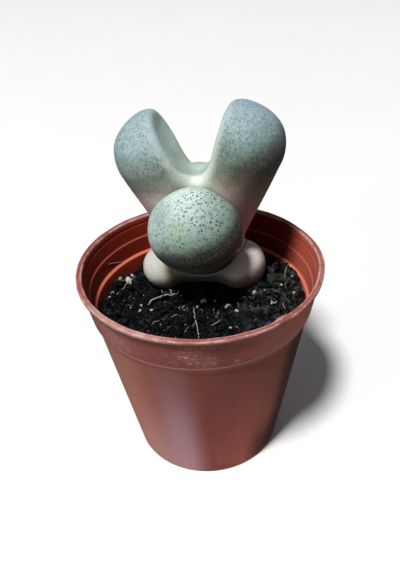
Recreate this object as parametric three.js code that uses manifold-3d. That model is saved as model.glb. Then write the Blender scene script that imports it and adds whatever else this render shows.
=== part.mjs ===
// A split rock plant in a small plastic nursery pot, in millimetres, +Z up.
// The pot stands on z = 0 with its axis on the Z axis. The viewer in the photograph stands on the -Y side.
import * as THREE from 'three';
import { mergeVertices } from 'three/addons/utils/BufferGeometryUtils.js';
import Module from 'manifold-3d';

const wasm = await Module();
wasm.setup();
const { Manifold, Mesh } = wasm;

// Driving dimensions, millimetres and degrees.
const CLEARANCE = 0.4; // air between two plant pieces, and between the plant and the soil
const SEGMENTS = 64; // facets round the pot and the soil

const POT = {
  height: 50,
  rimRadius: 27.5,
  baseRadius: 17.85,
  wall: 0.8,
  floor: 1.2,
  stepHeight: 40.8, // where the straight body ends and the wider collar starts
  bodyTopRadius: 24.8,
  collarBottomRadius: 25.3,
  collarTopRadius: 26.85,
  lipThickness: 0.85,
  drainHoles: 4,
  drainHoleRadius: 2.5,
  drainCircleRadius: 11,
};

const SOIL = {
  level: 39.4, // height at the pot's axis
  slope: 0.05, // the surface climbs towards +X
  wallGap: 0.3,
  floorGap: 0.3,
  rings: 12,
  lumps: 70,
};
// Pale mineral grains half sunk in the soil: [x, y, size]. The last ones lie behind the plant.
const GRAINS = [
  [-17.7, 10.6, 0.9],
  [-19.6, 11.3, 0.5],
  [-21.4, 6.2, 0.9],
  [0.3, -0.6, 0.8],
  [6.0, -2.4, 1.2],
  [2.2, -4.4, 0.6],
  [-14.2, -1.2, 0.8],
  [-11.6, -3.6, 0.6],
  [15.7, -4.9, 0.9],
  [20.0, 8.0, 0.8],
  [18.9, 2.2, 0.7],
  [12.1, -2.2, 0.7],
  [7.7, -6.3, 0.6],
  [6.0, -11.6, 0.7],
  [-7.2, 20.4, 0.9],
  [8.2, 19.9, 0.8],
];

const ROOT = { x: 0.9, y: 9.2, topRadius: 3.3, tipRadius: 1.0, top: 40.3, tip: 14, holeGap: 0.35 };

// Each pair: two leaves grown together at the base, split by a fissure between their flat inner faces.
// length, lean and the two radii describe one leaf's body; faceLean tips its inner face from upright.
// flats press the body in where it is less than round, each out from the tip's centre in one direction.
const YOUNG_PAIR = {
  base: [1.1, 8.7, 41.6],
  turn: -9.6,
  saddle: 21.36,
  bodyBlend: 4.3,
  fissureBlend: 9.4,
  rimBlend: 1.7,
  width: 1.1,
  bottom: 47.4,
  bottomBlend: 2.0,
  faceReach: 9.4,
  faceDish: 52,
  leaves: [
    {
      length: 34.4,
      lean: 16.2,
      baseRadius: 4.8,
      tipRadius: 9.0,
      faceLean: 19.1,
      twist: -4.6,
      shift: 0.73,
      flats: [
        { towards: [0.54, 0.49, 0.68], out: 9.3 },
        { towards: [-0.62, 0.45, 0.64], out: 9.4 },
      ],
    },
    {
      length: 32.4,
      lean: 16.45,
      baseRadius: 2.8,
      tipRadius: 8.9,
      faceLean: 29.2,
      twist: 5.8,
      shift: 0.09,
      flats: [
        { towards: [-0.75, 0.38, 0.54], out: 9.7 },
        { towards: [0.86, 0.29, 0.41], out: 7.5 },
      ],
    },
  ],
};
const FLAT_BLEND = 3.0;
const FISSURE_SWELLING = { centre: [1.1, 10.8, 64.9], radii: [2.9, 3.0, 3.9], blend: 1.1 };

const MIDDLE_PAIR = {
  base: [1.0, 9.6, 44.6],
  turn: -97.8,
  saddle: 15.0,
  bodyBlend: 5.0,
  fissureBlend: 3.0,
  rimBlend: 1.6,
  width: 1.09,
  bottom: 44.6,
  bottomBlend: 2.0,
  faceReach: 8,
  faceDish: 45,
  leaves: [
    { length: 19.25, lean: 39.25, baseRadius: 4.1, tipRadius: 9.2, faceLean: 30, twist: 0, shift: 0 },
    { length: 12.5, lean: 42, baseRadius: 4.1, tipRadius: 7.6, faceLean: 24, twist: 0, shift: 0 },
  ],
  sheath: { centre: [1.4, 9.2, 50.0], radii: [9.8, 8.8, 6.4], blend: 1.5, top: 50.7 },
};

const OLD_PAIR = {
  base: [0.85, 9.15, 45.2],
  turn: -6.3,
  saddle: 6.0,
  bodyBlend: 4.0,
  fissureBlend: 2.0,
  rimBlend: 1.5,
  width: 1.15,
  bottom: 39.3,
  bottomBlend: 1.0,
  faceReach: 6,
  faceDish: 60,
  leaves: [
    { length: 9.6, lean: 93.2, baseRadius: 3.0, tipRadius: 5.57, faceLean: 45, twist: -11.9, shift: 0 },
    { length: 9.4, lean: 98.3, baseRadius: 3.0, tipRadius: 5.12, faceLean: 45, twist: 11.9, shift: 0 },
  ],
  sheath: { centre: [0.85, 9.15, 45.7], radii: [8.2, 7.6, 3.5], blend: 4.0, top: 60 },
};

// Corners of a box round the whole plant above the soil, and the grid cells that its facets come from.
const PLANT_BOX = [
  [-20, -16, 37],
  [22, 29, 87],
];
const LEAF_CELL = 1.5;
const ROOM_CELL = 2.0;

const radians = THREE.MathUtils.degToRad;

// A small repeatable random source, so every build gives the same soil.
function seededRandom(seed) {
  let state = seed >>> 0;
  return () => {
    state = (state * 1664525 + 1013904223) >>> 0;
    return state / 4294967296;
  };
}

// Smooth versions of min and max; k is the width of the rounding.
function smoothMin(a, b, k) {
  const h = Math.max(k - Math.abs(a - b), 0) / k;
  return Math.min(a, b) - h * h * k * 0.25;
}

function smoothMax(a, b, k) {
  return -smoothMin(-a, -b, k);
}

// Signed distance to a cone with round ends: radius r1 at the origin, r2 at (tipR, tipZ) in the (r, z).
function roundConeDistance(r, w, z, tipR, tipZ, r1, r2) {
  const lengthSquared = tipR * tipR + tipZ * tipZ;
  const radiusDrop = r1 - r2;
  const slantSquared = lengthSquared - radiusDrop * radiusDrop;
  const along = r * tipR + z * tipZ;
  const beyond = along - lengthSquared;
  const sideR = r * lengthSquared - along * tipR;
  const sideW = w * lengthSquared;
  const sideZ = z * lengthSquared - along * tipZ;
  const side = sideR * sideR + sideW * sideW + sideZ * sideZ;
  const limit = Math.sign(radiusDrop) * radiusDrop * radiusDrop * side;
  if (Math.sign(beyond) * slantSquared * beyond * beyond * lengthSquared > limit) {
    return Math.sqrt(side + beyond * beyond * lengthSquared) / lengthSquared - r2;
  }
  if (Math.sign(along) * slantSquared * along * along * lengthSquared < limit) {
    return Math.sqrt(side + along * along * lengthSquared) / lengthSquared - r1;
  }
  return (Math.sqrt((side * slantSquared) / lengthSquared) + along * radiusDrop) / lengthSquared - r1;
}

function ellipsoidDistance(x, y, z, { centre, radii }) {
  const px = (x - centre[0]) / radii[0];
  const py = (y - centre[1]) / radii[1];
  const pz = (z - centre[2]) / radii[2];
  const k = Math.hypot(px, py, pz);
  const slope = Math.hypot(px / radii[0], py / radii[1], pz / radii[2]);
  return (k * (k - 1)) / Math.max(slope, 1e-9);
}

// Height of the point (x, y, z) over one of a leaf's flats.
function overFlat(x, y, z, { towards, out }, [tipX, tipY, tipZ]) {
  const [dx, dy, dz] = towards;
  return ((x - tipX) * dx + (y - tipY) * dy + (z - tipZ) * dz) / Math.hypot(dx, dy, dz) - out;
}

// Distance field of one leaf pair: two blended leaf bodies, with the fissure between the faces taken out.
function leafPairDistance(x, y, z, pair) {
  const bodies = [];
  const fissures = [];
  pair.leaves.forEach((leaf, index) => {
    const heading = radians(pair.turn + 180 * index + leaf.twist);
    const dx = x - pair.base[0];
    const dy = y - pair.base[1];
    const r = dx * Math.cos(heading) + dy * Math.sin(heading);
    const w = -dx * Math.sin(heading) + dy * Math.cos(heading);
    const h = z - pair.base[2];
    const lean = radians(leaf.lean);
    const tipR = leaf.length * Math.sin(lean);
    const tipZ = leaf.length * Math.cos(lean);
    const tip = [
      pair.base[0] + tipR * Math.cos(heading),
      pair.base[1] + tipR * Math.sin(heading),
      pair.base[2] + tipZ,
    ];
    let leafBody = roundConeDistance(r, w / pair.width, h, tipR, tipZ, leaf.baseRadius, leaf.tipRadius);
    for (const flat of leaf.flats ?? []) {
      leafBody = smoothMax(leafBody, overFlat(x, y, z, flat, tip), FLAT_BLEND);
    }
    bodies.push(leafBody);
    // The inner face is a very shallow dish, cut by a big sphere that touches it at faceReach.
    const face = radians(leaf.faceLean);
    const dishR = leaf.shift + pair.faceReach * Math.sin(face) - pair.faceDish * Math.cos(face);
    const dishZ = pair.saddle + pair.faceReach * Math.cos(face) + pair.faceDish * Math.sin(face);
    fissures.push(pair.faceDish - Math.hypot(r - dishR, w, h - dishZ));
  });
  let body = smoothMin(bodies[0], bodies[1], pair.bodyBlend);
  if (pair.sheath) {
    const sheath = smoothMax(ellipsoidDistance(x, y, z, pair.sheath), z - pair.sheath.top, 1.2);
    body = smoothMin(body, sheath, pair.sheath.blend);
  }
  const fissure = smoothMin(fissures[0], fissures[1], pair.fissureBlend);
  return smoothMax(smoothMax(body, fissure, pair.rimBlend), pair.bottom - z, pair.bottomBlend);
}

function youngDistance(x, y, z) {
  const swelling = ellipsoidDistance(x, y, z, FISSURE_SWELLING);
  return smoothMin(leafPairDistance(x, y, z, YOUNG_PAIR), swelling, FISSURE_SWELLING.blend);
}

function middleBodyDistance(x, y, z) {
  return leafPairDistance(x, y, z, MIDDLE_PAIR);
}

// The old pair without the room that the younger pairs take.
function oldDistance(x, y, z) {
  const inner = Math.min(middleBodyDistance(x, y, z), youngDistance(x, y, z));
  return Math.max(leafPairDistance(x, y, z, OLD_PAIR), CLEARANCE - inner);
}

// Turns a distance field into a closed triangle mesh: one point in each grid cell that the surface
// crosses, pulled onto the surface, and one quad for each grid edge that it crosses.
function meshFromField(field, [low, high], cell) {
  const count = [0, 1, 2].map((axis) => Math.ceil((high[axis] - low[axis]) / cell) + 1);
  const at = (i, j, k) => i + count[0] * (j + count[1] * k);
  const values = new Float64Array(count[0] * count[1] * count[2]);
  for (let k = 0; k < count[2]; k += 1) {
    for (let j = 0; j < count[1]; j += 1) {
      for (let i = 0; i < count[0]; i += 1) {
        values[at(i, j, k)] = field(low[0] + i * cell, low[1] + j * cell, low[2] + k * cell);
      }
    }
  }
  const pointOfCell = new Map();
  const positions = [];
  const corners = [];
  for (let n = 0; n < 8; n += 1) corners.push([n & 1, (n >> 1) & 1, (n >> 2) & 1]);
  for (let k = 0; k + 1 < count[2]; k += 1) {
    for (let j = 0; j + 1 < count[1]; j += 1) {
      for (let i = 0; i + 1 < count[0]; i += 1) {
        const value = corners.map(([a, b, c]) => values[at(i + a, j + b, k + c)]);
        let crossings = 0;
        const sum = [0, 0, 0];
        for (let n = 0; n < 8; n += 1) {
          for (const step of [1, 2, 4]) {
            if (n & step || value[n] < 0 === value[n | step] < 0) continue;
            const t = value[n] / (value[n] - value[n | step]);
            for (let axis = 0; axis < 3; axis += 1) {
              sum[axis] += corners[n][axis] + t * (corners[n | step][axis] - corners[n][axis]);
            }
            crossings += 1;
          }
        }
        if (crossings === 0) continue;
        const point = [i, j, k].map((start, axis) => low[axis] + (start + sum[axis] / crossings) * cell);
        pullToSurface(field, point, cell);
        pointOfCell.set(at(i, j, k), positions.length / 3);
        positions.push(...point);
      }
    }
  }
  const indices = [];
  const strides = [1, count[0], count[0] * count[1]];
  for (let k = 1; k + 1 < count[2]; k += 1) {
    for (let j = 1; j + 1 < count[1]; j += 1) {
      for (let i = 1; i + 1 < count[0]; i += 1) {
        const here = at(i, j, k);
        for (let axis = 0; axis < 3; axis += 1) {
          const inside = values[here] < 0;
          if (inside === values[here + strides[axis]] < 0) continue;
          const u = strides[(axis + 1) % 3];
          const v = strides[(axis + 2) % 3];
          const quad = [here - u - v, here - v, here, here - u].map((index) => pointOfCell.get(index));
          if (!inside) quad.reverse();
          addQuad(indices, positions, quad);
        }
      }
    }
  }
  return geometryFrom(positions, indices);
}

// Moves a point along the field's slope to the surface, by at most half a cell.
function pullToSurface(field, point, cell) {
  const h = 0.02;
  const [x, y, z] = point;
  const value = field(x, y, z);
  const slope = [
    (field(x + h, y, z) - field(x - h, y, z)) / (2 * h),
    (field(x, y + h, z) - field(x, y - h, z)) / (2 * h),
    (field(x, y, z + h) - field(x, y, z - h)) / (2 * h),
  ];
  const steepness = Math.max(slope[0] ** 2 + slope[1] ** 2 + slope[2] ** 2, 0.25);
  for (let axis = 0; axis < 3; axis += 1) {
    point[axis] -= THREE.MathUtils.clamp((value * slope[axis]) / steepness, -cell / 2, cell / 2);
  }
}

// Splits a quad along its shorter diagonal.
function addQuad(indices, positions, [a, b, c, d]) {
  const distance = (p, q) =>
    Math.hypot(...[0, 1, 2].map((axis) => positions[3 * p + axis] - positions[3 * q + axis]));
  if (distance(a, c) < distance(b, d)) {
    indices.push(a, b, c, a, c, d);
  } else {
    indices.push(a, b, d, b, c, d);
  }
}

// Shares the corners of a closed geometry, without the flat triangles that a turned profile has at its axis.
function toManifold(geometry) {
  const shared = geometry.clone();
  shared.deleteAttribute('normal');
  shared.deleteAttribute('uv');
  const { attributes, index } = mergeVertices(shared, 1e-4);
  const corners = [];
  for (let n = 0; n < index.count; n += 3) {
    const [a, b, c] = [index.getX(n), index.getX(n + 1), index.getX(n + 2)];
    if (a !== b && b !== c && c !== a) corners.push(a, b, c);
  }
  return new Manifold(
    new Mesh({
      numProp: 3,
      vertProperties: Float32Array.from(attributes.position.array),
      triVerts: Uint32Array.from(corners),
    }),
  );
}

function toGeometry(solid) {
  const { vertProperties, triVerts } = solid.getMesh();
  const geometry = new THREE.BufferGeometry();
  geometry.setAttribute('position', new THREE.Float32BufferAttribute(Array.from(vertProperties), 3));
  geometry.setIndex(Array.from(triVerts));
  geometry.computeVertexNormals();
  return geometry;
}

function geometryFrom(positions, indices) {
  const geometry = new THREE.BufferGeometry();
  geometry.setAttribute('position', new THREE.Float32BufferAttribute(positions, 3));
  geometry.setIndex(indices);
  return geometry;
}

// A solid turned round the Z axis. Its outline runs from the axis back to the axis, as [radius, height].
function turned(outline, segments) {
  const points = outline.map(([radius, height]) => new THREE.Vector2(radius, height));
  return new THREE.LatheGeometry(points, segments).rotateX(Math.PI / 2);
}

// A leaf pair with room cut in it for the younger pairs. A loose crumb at the thin rim is dropped.
function buildHoldingPair(pair, cell, innerFields) {
  const whole = toManifold(meshFromField((x, y, z) => leafPairDistance(x, y, z, pair), PLANT_BOX, cell));
  const rooms = innerFields.map((field) =>
    toManifold(meshFromField((x, y, z) => field(x, y, z) - CLEARANCE, PLANT_BOX, ROOM_CELL)),
  );
  const pieces = whole.subtract(Manifold.union(rooms)).decompose();
  return toGeometry(pieces.reduce((best, piece) => (piece.volume() > best.volume() ? piece : best)));
}

function named(name, geometry, color, roughness) {
  const mesh = new THREE.Mesh(geometry, new THREE.MeshStandardMaterial({ color, roughness, metalness: 0 }));
  mesh.name = name;
  return mesh;
}

// The pot's inner radius at height z, on the straight wall of the body.
function potInnerRadius(z) {
  const taper = (POT.bodyTopRadius - POT.baseRadius) / POT.stepHeight;
  return POT.baseRadius + taper * z - POT.wall;
}

// The pot is one turned shell: outside from the bottom up, over the lip and down the inside.
function buildPot() {
  const p = POT;
  const innerStep = p.stepHeight + 0.4;
  const lipUnderside = p.height - p.lipThickness;
  const outline = [
    [0, 0],
    [p.baseRadius - 0.4, 0],
    [p.baseRadius, 0.4],
    [p.bodyTopRadius, p.stepHeight],
    [p.collarBottomRadius - 0.1, p.stepHeight],
    [p.collarBottomRadius, p.stepHeight + 0.2],
    [p.collarTopRadius, lipUnderside],
    [p.rimRadius - 0.15, lipUnderside],
    [p.rimRadius, lipUnderside + 0.2],
    [p.rimRadius, p.height - 0.25],
    [p.rimRadius - 0.25, p.height],
    [p.rimRadius - 1.15, p.height],
    [p.rimRadius - 1.3, p.height - 0.2],
    [p.collarTopRadius - p.wall, p.height - 1.3],
    [p.collarBottomRadius - p.wall + 0.08, innerStep],
    [p.bodyTopRadius - p.wall, innerStep - 0.3],
    [potInnerRadius(p.floor + 0.6), p.floor + 0.6],
    [potInnerRadius(p.floor) - 0.6, p.floor],
    [0, p.floor],
  ];
  let shell = toManifold(turned(outline, SEGMENTS));
  for (let n = 0; n < p.drainHoles; n += 1) {
    const angle = (2 * Math.PI * (n + 0.5)) / p.drainHoles;
    const drill = new THREE.CylinderGeometry(p.drainHoleRadius, p.drainHoleRadius, 4 * p.floor, 16);
    drill.rotateX(Math.PI / 2);
    drill.translate(p.drainCircleRadius * Math.cos(angle), p.drainCircleRadius * Math.sin(angle), 0);
    shell = shell.subtract(toManifold(drill));
  }
  return toGeometry(shell);
}

// Height above (x, y) where the plant comes within the clearance, or Infinity where none of it is close.
function plantUnderside(x, y) {
  for (let z = 36; z < 44; z += 0.1) {
    if (oldDistance(x, y, z) < CLEARANCE) return z;
  }
  return Infinity;
}

const random = seededRandom(11);

const soilLumps = Array.from({ length: SOIL.lumps }, () => {
  const radius = 22.5 * Math.sqrt(random());
  const angle = 2 * Math.PI * random();
  const size = 1.4 + 1.6 * random();
  return { x: radius * Math.cos(angle), y: radius * Math.sin(angle), size, rise: 0.75 * random() };
});

// Crumbly surface: a tilted plane with round lumps, pressed down under the plant.
function soilHeight(x, y) {
  let z = SOIL.level + SOIL.slope * x;
  for (const lump of soilLumps) {
    z += lump.rise * Math.exp(-((x - lump.x) ** 2 + (y - lump.y) ** 2) / lump.size ** 2);
  }
  return Math.min(z, plantUnderside(x, y));
}

// The soil fills the pot and has a plain hole for the taproot. It starts as a turned solid centred on
// the pot; its rings from the hole's rim outwards are then shifted towards the root and raised to the
// crumbly height.
function buildSoil() {
  const holeTop = ROOT.topRadius + ROOT.holeGap;
  const edge = potInnerRadius(SOIL.level) - SOIL.wallGap;
  const low = POT.floor + SOIL.floorGap;
  const outline = [
    [0, low],
    [potInnerRadius(low) - SOIL.wallGap - 0.6, low],
    [potInnerRadius(low + 0.6) - SOIL.wallGap, low + 0.6],
  ];
  for (let n = SOIL.rings; n >= 0; n -= 1) {
    outline.push([holeTop + ((edge - holeTop) * n) / SOIL.rings, SOIL.level]);
  }
  outline.push([ROOT.tipRadius + ROOT.holeGap, ROOT.tip - ROOT.holeGap], [0, ROOT.tip - ROOT.holeGap]);
  const geometry = turned(outline, SEGMENTS);
  const point = geometry.attributes.position;
  for (let n = 0; n < point.count; n += 1) {
    const ring = n % outline.length;
    if (ring < 3) continue;
    const radius = Math.hypot(point.getX(n), point.getY(n));
    const shift = 1 - THREE.MathUtils.clamp((radius - holeTop) / (edge - holeTop), 0, 1);
    const x = point.getX(n) + ROOT.x * shift;
    const y = point.getY(n) + ROOT.y * shift;
    const onTop = ring < outline.length - 2;
    point.setXYZ(n, x, y, onTop ? soilHeight(x, y) : point.getZ(n));
  }
  return toGeometry(Manifold.union([toManifold(geometry), ...buildGrains()]));
}

function buildGrains() {
  return GRAINS.map(([x, y, size]) => {
    const grain = new THREE.IcosahedronGeometry(size, 0);
    grain.scale(1.1, 0.85, 0.8).rotateZ(x * y).translate(x, y, soilHeight(x, y) + size * 0.3);
    return toManifold(grain);
  });
}

function buildRoot() {
  const outline = [
    [0, ROOT.tip],
    [ROOT.tipRadius * 0.5, ROOT.tip],
    [ROOT.tipRadius, ROOT.tip + 0.6],
    [ROOT.topRadius, ROOT.top - 0.6],
    [ROOT.topRadius - 0.6, ROOT.top],
    [0, ROOT.top],
  ];
  return toGeometry(toManifold(turned(outline, 20).translate(ROOT.x, ROOT.y, 0)));
}

const plant = new THREE.Group();
plant.add(
  named('young_leaf_pair', meshFromField(youngDistance, PLANT_BOX, LEAF_CELL), 0x9fb8b0, 0.75),
  named('middle_leaf_pair', buildHoldingPair(MIDDLE_PAIR, LEAF_CELL, [youngDistance]), 0xb4d0c4, 0.75),
  named(
    'old_leaf_pair',
    buildHoldingPair(OLD_PAIR, LEAF_CELL, [youngDistance, middleBodyDistance]),
    0xd8d2c6,
    0.8,
  ),
  named('taproot', buildRoot(), 0x8a6f55, 0.9),
);

const potted = new THREE.Group();
potted.add(named('pot', buildPot(), 0x8f4a3e, 0.45), named('soil', buildSoil(), 0x2c2a28, 0.95), plant);

export default potted;
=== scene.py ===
"""Looks of the potted split rock: smooth speckled leaf pairs on dark peat in a small plastic pot.

Sizes are in millimetres and degrees up here and in the shape functions, and in metres once they
reach Blender. The viewer of the photograph stands on the -Y side.
"""

import math

import bpy
import numpy as np
from mathutils import Matrix, Vector


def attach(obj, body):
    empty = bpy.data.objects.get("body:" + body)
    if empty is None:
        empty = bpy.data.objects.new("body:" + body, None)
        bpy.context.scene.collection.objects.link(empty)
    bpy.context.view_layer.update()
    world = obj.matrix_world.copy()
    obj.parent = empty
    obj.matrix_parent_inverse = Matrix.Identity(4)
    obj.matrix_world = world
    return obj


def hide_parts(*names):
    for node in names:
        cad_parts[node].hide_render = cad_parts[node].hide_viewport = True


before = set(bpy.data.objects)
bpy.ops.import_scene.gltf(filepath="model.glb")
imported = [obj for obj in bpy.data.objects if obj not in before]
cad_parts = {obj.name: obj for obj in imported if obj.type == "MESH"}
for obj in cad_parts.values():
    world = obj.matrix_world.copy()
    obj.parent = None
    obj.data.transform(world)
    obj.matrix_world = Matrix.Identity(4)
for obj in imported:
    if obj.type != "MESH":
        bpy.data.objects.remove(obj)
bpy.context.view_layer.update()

MM = 0.001

# The camera's place, found by fitting the pot's circles to the photograph.
PHOTO_HEIGHT = 570
FOCAL_PIXELS = 625
SENSOR = 36
CAMERA_TARGET = (-0.19, 0.0, 43.67)
CAMERA_DISTANCE = 143.0
CAMERA_ELEVATION = 35.4
CAMERA_ROLL = -3.32

# One small bright lamp up on the left stands for the window's sun, one wide weak one for its sky.
# Each lamp: name, direction from the pot's rim, distance and width in metres, watts, colour.
LAMPS = (
    ("sun", (-0.21, -0.365, 0.907), 4.0, 0.65, 174, (1.0, 0.99, 0.97)),
    ("sky", (-0.84, -0.47, 0.28), 1.0, 0.7, 1.9, (0.95, 0.98, 1.0)),
)
ROOM_LIGHT = 0.11
BACKGROUND_LIGHT = 0.92
ROOM_COLOUR = (0.95, 0.97, 1.0, 1.0)
# Outer radii of the pale floor's inner disc and of the ring round it.
NEAR_FLOOR = 60
FAR_FLOOR = 4000
FLOOR_SIDES = 96

# The leaf pairs, with the same driving sizes as the solids they dress.
CLOSE_GAP = 0.08  # air left between two plant pieces that press on each other
YOUNG_PAIR = {
    "base": (1.1, 8.7, 41.6),
    "turn": -9.6,
    "saddle": 21.36,
    "body_blend": 4.3,
    "fissure_blend": 9.4,
    "rim_blend": 1.7,
    "width": 1.1,
    "bottom": 47.4,
    "bottom_blend": 2.0,
    "face_reach": 9.4,
    "face_dish": 52,
    # flats: where a leaf's tip is less round than a ball, each as an outward direction and a distance from
    # the tip's centre.
    "leaves": (
        {
            "length": 34.4,
            "lean": 16.2,
            "radii": (4.8, 9.0),
            "face_lean": 19.1,
            "twist": -4.6,
            "shift": 0.73,
            "flats": (((0.54, 0.49, 0.68), 9.3), ((-0.62, 0.45, 0.64), 9.4)),
        },
        {
            "length": 32.4,
            "lean": 16.45,
            "radii": (2.8, 8.9),
            "face_lean": 29.2,
            "twist": 5.8,
            "shift": 0.09,
            "flats": (((-0.75, 0.38, 0.54), 9.7), ((0.86, 0.29, 0.41), 7.5)),
        },
    ),
}
FLAT_BLEND = 3.0
SWELLING = {"centre": (1.1, 10.8, 64.9), "radii": (2.9, 3.0, 3.9), "blend": 1.1}
MIDDLE_PAIR = {
    "base": (1.0, 9.6, 44.6),
    "turn": -97.8,
    "saddle": 15.0,
    "body_blend": 5.0,
    "fissure_blend": 3.0,
    "rim_blend": 1.6,
    "width": 1.09,
    "bottom": 44.6,
    "bottom_blend": 2.0,
    "face_reach": 8,
    "face_dish": 45,
    "leaves": (
        {"length": 19.25, "lean": 39.25, "radii": (4.1, 9.2), "face_lean": 30, "twist": 0, "shift": 0},
        {"length": 12.5, "lean": 42, "radii": (4.1, 7.6), "face_lean": 24, "twist": 0, "shift": 0},
    ),
    "sheath": {"centre": (1.4, 9.2, 50.0), "radii": (9.8, 8.8, 6.4), "blend": 1.5, "top": 50.7},
}
OLD_PAIR = {
    "base": (0.85, 9.15, 45.2),
    "turn": -6.3,
    "saddle": 6.0,
    "body_blend": 4.0,
    "fissure_blend": 2.0,
    "rim_blend": 1.5,
    "width": 1.15,
    "bottom": 39.3,
    "bottom_blend": 1.0,
    "face_reach": 6,
    "face_dish": 60,
    "leaves": (
        {"length": 9.6, "lean": 93.2, "radii": (3.0, 5.57), "face_lean": 45, "twist": -11.9, "shift": 0},
        {"length": 9.4, "lean": 98.3, "radii": (3.0, 5.12), "face_lean": 45, "twist": 11.9, "shift": 0},
    ),
    "sheath": {"centre": (0.85, 9.15, 45.7), "radii": (8.2, 7.6, 3.5), "blend": 4.0, "top": 60},
}
YOUNG_BOX = ((-18, -5, 46), (21, 21, 86))
MIDDLE_BOX = ((-13, -14, 43), (14, 28, 71))
OLD_BOX = ((-16, -2, 38), (18, 19, 52))
SKIN_CELL = 0.32

# The direction the light comes from. The leaves' colours carry painted light and shade
# by how squarely the skin faces it.
WINDOW_DIRECTION = (-0.324, -0.187, 0.927)
# Skin colours in screen values. On the young and old pairs they run along the leaf, from its base at 0 past
# the centre of its round tip at 1, and the young pair's bright and shaded sets are painted light and shade.
# On the middle pair they run from skin that is turned away from the window to skin that faces it: painted
# shade, darkest just past where the light leaves the skin, and painted light where it faces the light.
YOUNG_SKIN = {
    "right_bright": (
        (0.60, (205, 200, 190)), (0.74, (190, 200, 180)), (0.84, (136, 142, 112)), (0.99, (150, 170, 150)),
        (1.06, (120, 145, 135)), (1.14, (140, 170, 170)), (1.26, (160, 185, 200)),
    ),
    "right_shaded": (
        (0.60, (210, 155, 150)), (0.74, (175, 150, 140)), (0.84, (140, 125, 106)), (0.94, (100, 100, 85)),
        (1.04, (70, 80, 70)), (1.14, (95, 100, 100)), (1.26, (150, 160, 175)),
    ),
    "left_bright": (
        (0.74, (235, 235, 225)), (0.84, (220, 220, 205)), (0.91, (180, 180, 165)), (0.97, (145, 165, 155)),
        (1.06, (145, 170, 165)), (1.14, (160, 185, 190)),
    ),
    "left_shaded": (
        (0.60, (205, 180, 165)), (0.74, (245, 222, 215)), (0.84, (165, 155, 140)), (0.94, (155, 165, 150)),
        (1.06, (170, 190, 185)), (1.26, (160, 180, 185)),
    ),
    "margin": (
        (0.74, (230, 235, 230)), (0.95, (220, 225, 215)), (1.05, (195, 210, 210)), (1.26, (170, 195, 200)),
    ),
    "face": (
        (0.74, (180, 205, 195)), (0.84, (170, 185, 175)), (0.92, (165, 180, 170)), (1.00, (205, 225, 220)),
        (1.10, (205, 230, 230)), (1.30, (115, 135, 130)),
    ),
}
# The small swelling in the fissure, from its front to its back: painted light in front, painted shade behind.
SWELLING_COLOURS = (
    (5.5, (215, 240, 230)), (7.5, (175, 205, 190)), (9.5, (150, 175, 160)), (11.5, (115, 125, 115)),
)
MIDDLE_SKIN = (
    (-0.5, (70, 60, 45)), (0.0, (35, 35, 25)), (0.14, (35, 40, 30)), (0.24, (90, 105, 90)),
    (0.35, (125, 150, 135)), (0.55, (150, 175, 165)), (0.85, (180, 200, 195)), (1.0, (205, 225, 220)),
)
# Painted light on the round leaf: a pale lit flank, a painted highlight on its crown and painted shade on
# its shoulder, each as a centre, a radius, a soft width, a strength and a colour. Its other places are
# centres only.
MIDDLE_PATCHES = (
    ((-9.8, -4.5, 61.2), 1.5, 5.0, 1.0, (195, 213, 210)),
    ((-1.2, -2.6, 69.0), 0.5, 4.5, 0.7, (230, 244, 238)),
    ((-7.2, -5.8, 65.6), 0.5, 3.5, 0.7, (160, 178, 174)),
)
# Pale skin at the pair's base by the right lump, painted near white as well, to stand in for light there.
PALE_BASE_PAINTED_LIGHT = (10.3, 6.5, 50.4)
YELLOW_PATCH = (-4.0, -9.9, 63.8)
DOTLESS_PATCH = (-5.0, -1.6, 68.0)
OLD_SKIN = ((0.7, (140, 130, 110)), (0.98, (180, 175, 155)), (1.12, (190, 190, 180)), (1.45, (218, 218, 212)))

POT = {
    "height": 50,
    "rim_radius": 27.5,
    "base_radius": 17.85,
    "wall": 0.8,
    "floor": 1.2,
    "step_height": 40.8,
    "body_top_radius": 24.8,
    "collar_bottom_radius": 25.3,
    "collar_top_radius": 26.85,
    "lip_thickness": 0.85,
    "drain_holes": 4,
    "drain_hole_radius": 2.5,
    "drain_circle_radius": 11,
}
POT_SEGMENTS = 384
OUTLINE_STEP = 3.0
NICK = {"azimuth": -54.5, "width": 1.3, "push": 0.7}  # a place where the rim is bent inward
RIM_ZONE = 6  # how far down from the rim the thin shell is out of round
# How the rim wavers in and out, as noise layers with strengths in shares of its radius, and up and down.
RIM_WAVERS = ((9.0, 0.0037, 5), (2.2, 0.00148, 6))
RIM_RIPPLES = ((6.0, 0.10, 7), (1.4, 0.05, 8))
RIM_ROOM = 0.1  # how far the rim's looks may rise past the solid's
DRILL_SIDES = 40
DRILL_ENDS = (-3.0, 4.0)
# Painted light and shade on the plastic, by the way it faces: a direction, how squarely the surface faces it
# where the tint starts and where it is full, the tint's strength and its colour.
WALL_LIGHT_AND_SHADE = (
    ((-0.9, -0.4, 0), 0.65, 1.0, 0.9, (182, 120, 102)),
    ((0.75, -0.66, 0), 0.76, 0.95, 0.7, (170, 94, 74)),
    ((0.927, -0.375, 0), 0.88, 0.975, 0.85, (56, 16, 9)),
)
COLLAR_LIGHT_AND_SHADE = (
    ((-0.9, -0.4, 0), 0.6, 1.0, 0.8, (172, 108, 100)),
    ((0.85, -0.5, 0), 0.6, 0.95, 0.95, (214, 124, 108)),
)
INSIDE_PAINTED_LIGHT = (((-0.95, 0.3, 0), 0.5, 0.9, 0.85, (204, 104, 84)),)
# The level direction that the painted shade low on the wall's right faces.
LOW_RIGHT_SHADE = (0.82, -0.57, 0)
FRONT_LEFT = (-0.75, -0.66)
BACK_LEFT = (-0.75, 0.66)
REFLECTION_ACROSS = (0.95, -0.31)  # level direction across the painted reflection on the wall
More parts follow.
